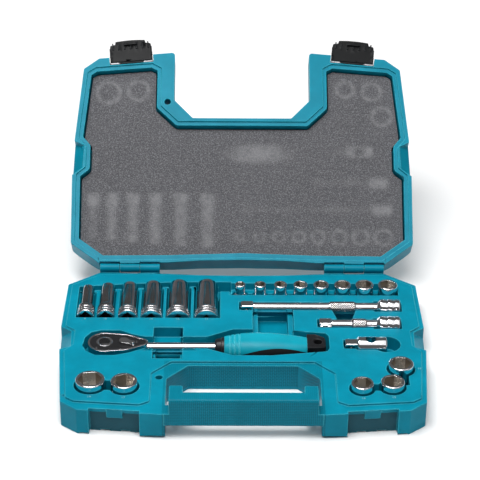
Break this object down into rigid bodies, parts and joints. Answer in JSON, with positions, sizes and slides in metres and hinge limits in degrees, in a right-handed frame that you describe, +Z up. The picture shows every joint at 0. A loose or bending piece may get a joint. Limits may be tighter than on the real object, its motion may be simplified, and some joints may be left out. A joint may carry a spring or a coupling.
{
  "type": "socket wrench set in case",
  "caption": "Hinged carrying case with a handle and two latches, holding a ratchet wrench, extensions, a tee adapter and hex sockets in fitted pockets.",
  "frame": {"origin": "centre of the tray's flat resting face", "axes": "+Z up out of the open tray, +Y towards the hinges and the open lid, +X to the right of a person facing the handle side"},
  "size_m": [0.3372, 0.4389, 0.1789],
  "materials": {
    "case_plastic": "fine-textured blow-moulded teal plastic",
    "foam": "open-cell charcoal foam",
    "latch_plastic": "satin black plastic",
    "pin_steel": "dull grey steel",
    "chrome": "bright chrome plate",
    "dark_chrome": "dark polished chrome plate",
    "cover_black": "glossy black cover plate",
    "tool_steel": "ground steel",
    "grip_rubber": "soft teal grip",
    "grip_black": "soft black grip"
  },
  "bodies": {
    "tray": {"tray": "case_plastic", "hinge_pin_left": "pin_steel", "hinge_pin_right": "pin_steel"},
    "lid": {"lid": "case_plastic", "lid_foam": "foam", "latch_pin_left": "pin_steel", "latch_pin_right": "pin_steel"},
    "latch_left": {"latch_left": "latch_plastic"},
    "latch_right": {"latch_right": "latch_plastic"},
    "ratchet": {"ratchet_body": "chrome", "ratchet_cover": "cover_black", "cover_screws": "tool_steel", "pawl_spring": "tool_steel", "grip_collar": "grip_black", "grip": "grip_rubber", "grip_inlays": "grip_black", "grip_butt": "grip_black"},
    "drive": {"drive_gear": "chrome", "release_spring": "tool_steel"},
    "anvil_ball": {"anvil_ball": "tool_steel"},
    "release_button": {"release_button": "tool_steel"},
    "pawl": {"pawl": "tool_steel"},
    "reverse_lever": {"reverse_lever": "chrome"},
    "long_extension": {"long_extension": "chrome", "long_extension_spring": "tool_steel"},
    "long_extension_ball": {"long_extension_ball": "tool_steel"},
    "short_extension": {"short_extension": "chrome", "short_extension_spring": "tool_steel"},
    "short_extension_ball": {"short_extension_ball": "tool_steel"},
    "tee_adapter": {"tee_adapter": "chrome", "tee_adapter_spring": "tool_steel"},
    "tee_adapter_ball": {"tee_adapter_ball": "tool_steel"},
    "socket_6mm": {"socket_6mm": "chrome"},
    "socket_7mm": {"socket_7mm": "chrome"},
    "socket_8mm": {"socket_8mm": "chrome"},
    "socket_9mm": {"socket_9mm": "chrome"},
    "socket_10mm": {"socket_10mm": "chrome"},
    "socket_11mm": {"socket_11mm": "chrome"},
    "socket_12mm": {"socket_12mm": "chrome"},
    "socket_13mm": {"socket_13mm": "chrome"},
    "socket_19mm": {"socket_19mm": "chrome"},
    "socket_17mm": {"socket_17mm": "chrome"},
    "socket_14mm": {"socket_14mm": "chrome"},
    "socket_15mm": {"socket_15mm": "chrome"},
    "socket_16mm": {"socket_16mm": "chrome"},
    "deep_socket_8mm": {"deep_socket_8mm": "dark_chrome"},
    "deep_socket_10mm": {"deep_socket_10mm": "dark_chrome"},
    "deep_socket_12mm": {"deep_socket_12mm": "dark_chrome"},
    "deep_socket_14mm": {"deep_socket_14mm": "dark_chrome"},
    "deep_socket_16mm": {"deep_socket_16mm": "dark_chrome"},
    "deep_socket_17mm": {"deep_socket_17mm": "dark_chrome"}
  },
  "joints": [
    {"name": "lid_hinge", "type": "hinge", "parent": "tray", "child": "lid", "pos_m": [0, 0.1187, 0.03], "axis": [-1, 0, 0], "range_deg": [-142.5, 0]},
    {"name": "latch_left_hinge", "type": "hinge", "parent": "lid", "child": "latch_left", "pos_m": [-0.11256, 0.30088, 0.16286], "axis": [-0.9956, -0.074, -0.0568], "range_deg": [-90, 0]},
    {"name": "latch_right_hinge", "type": "hinge", "parent": "lid", "child": "latch_right", "pos_m": [0.11256, 0.30088, 0.16286], "axis": [-0.9956, 0.074, 0.0568], "range_deg": [-90, 0]},
    {"name": "ratchet_lift", "type": "slide", "parent": "tray", "child": "ratchet", "axis": [0, 0, 1], "range_m": [0, 0.06]},
    {"name": "drive_spin", "type": "hinge", "parent": "ratchet", "child": "drive", "pos_m": [-0.1265, -0.0056, 0.0206], "axis": [0, 0, 1], "continuous": true},
    {"name": "release_button_push", "type": "slide", "parent": "drive", "child": "release_button", "axis": [0, 0, -1], "range_m": [0, 0.0018], "stiffness_N_per_m": 600, "springref_m": -0.001, "deforming": ["release_spring"]},
    {"name": "anvil_ball_slide", "type": "slide", "parent": "drive", "child": "anvil_ball", "axis": [0, 1, 0], "range_m": [0, 0.00061]},
    {"name": "reverse_lever_swing", "type": "hinge", "parent": "ratchet", "child": "reverse_lever", "pos_m": [-0.109, -0.0056, 0.0286], "axis": [0, 0, 1], "range_deg": [0, 60]},
    {"name": "pawl_rock", "type": "hinge", "parent": "ratchet", "child": "pawl", "pos_m": [-0.109, -0.0056, 0.0206], "axis": [0, 0, 1], "range_deg": [0, 6]},
    {"name": "long_extension_lift", "type": "slide", "parent": "tray", "child": "long_extension", "axis": [0, 0, 1], "range_m": [0, 0.06]},
    {"name": "long_extension_ball_slide", "type": "slide", "parent": "long_extension", "child": "long_extension_ball", "axis": [0, 1, 0], "range_m": [0, 0.0006], "stiffness_N_per_m": 200, "springref_m": -0.0006, "deforming": ["long_extension_spring"]},
    {"name": "short_extension_lift", "type": "slide", "parent": "tray", "child": "short_extension", "axis": [0, 0, 1], "range_m": [0, 0.06]},
    {"name": "short_extension_ball_slide", "type": "slide", "parent": "short_extension", "child": "short_extension_ball", "axis": [0, 1, 0], "range_m": [0, 0.0006], "stiffness_N_per_m": 200, "springref_m": -0.0006, "deforming": ["short_extension_spring"]},
    {"name": "tee_adapter_lift", "type": "slide", "parent": "tray", "child": "tee_adapter", "axis": [0, 0, 1], "range_m": [0, 0.06]},
    {"name": "tee_adapter_ball_slide", "type": "slide", "parent": "tee_adapter", "child": "tee_adapter_ball", "axis": [0, 1, 0], "range_m": [0, 0.0006], "stiffness_N_per_m": 200, "springref_m": -0.0006, "deforming": ["tee_adapter_spring"]},
    {"name": "socket_6mm_lift", "type": "slide", "parent": "tray", "child": "socket_6mm", "axis": [0, 0, 1], "range_m": [0, 0.06]},
    {"name": "socket_7mm_lift", "type": "slide", "parent": "tray", "child": "socket_7mm", "axis": [0, 0, 1], "range_m": [0, 0.06]},
    {"name": "socket_8mm_lift", "type": "slide", "parent": "tray", "child": "socket_8mm", "axis": [0, 0, 1], "range_m": [0, 0.06]},
    {"name": "socket_9mm_lift", "type": "slide", "parent": "tray", "child": "socket_9mm", "axis": [0, 0, 1], "range_m": [0, 0.06]},
    {"name": "socket_10mm_lift", "type": "slide", "parent": "tray", "child": "socket_10mm", "axis": [0, 0, 1], "range_m": [0, 0.06]},
    {"name": "socket_11mm_lift", "type": "slide", "parent": "tray", "child": "socket_11mm", "axis": [0, 0, 1], "range_m": [0, 0.06]},
    {"name": "socket_12mm_lift", "type": "slide", "parent": "tray", "child": "socket_12mm", "axis": [0, 0, 1], "range_m": [0, 0.06]},
    {"name": "socket_13mm_lift", "type": "slide", "parent": "tray", "child": "socket_13mm", "axis": [0, 0, 1], "range_m": [0, 0.06]},
    {"name": "socket_19mm_lift", "type": "slide", "parent": "tray", "child": "socket_19mm", "axis": [0, 0, 1], "range_m": [0, 0.06]},
    {"name": "socket_17mm_lift", "type": "slide", "parent": "tray", "child": "socket_17mm", "axis": [0, 0, 1], "range_m": [0, 0.06]},
    {"name": "socket_14mm_lift", "type": "slide", "parent": "tray", "child": "socket_14mm", "axis": [0, 0, 1], "range_m": [0, 0.06]},
    {"name": "socket_15mm_lift", "type": "slide", "parent": "tray", "child": "socket_15mm", "axis": [0, 0, 1], "range_m": [0, 0.06]},
    {"name": "socket_16mm_lift", "type": "slide", "parent": "tray", "child": "socket_16mm", "axis": [0, 0, 1], "range_m": [0, 0.06]},
    {"name": "deep_socket_8mm_lift", "type": "slide", "parent": "tray", "child": "deep_socket_8mm", "axis": [0, 0, 1], "range_m": [0, 0.06]},
    {"name": "deep_socket_10mm_lift", "type": "slide", "parent": "tray", "child": "deep_socket_10mm", "axis": [0, 0, 1], "range_m": [0, 0.06]},
    {"name": "deep_socket_12mm_lift", "type": "slide", "parent": "tray", "child": "deep_socket_12mm", "axis": [0, 0, 1], "range_m": [0, 0.06]},
    {"name": "deep_socket_14mm_lift", "type": "slide", "parent": "tray", "child": "deep_socket_14mm", "axis": [0, 0, 1], "range_m": [0, 0.06]},
    {"name": "deep_socket_16mm_lift", "type": "slide", "parent": "tray", "child": "deep_socket_16mm", "axis": [0, 0, 1], "range_m": [0, 0.06]},
    {"name": "deep_socket_17mm_lift", "type": "slide", "parent": "tray", "child": "deep_socket_17mm", "axis": [0, 0, 1], "range_m": [0, 0.06]}
  ],
  "couplings": [
    {"joint": "pawl_rock", "follows": "reverse_lever_swing", "ratio": 0.1},
    {"joint": "anvil_ball_slide", "follows": "release_button_push", "ratio": 0.3333}
  ]
}
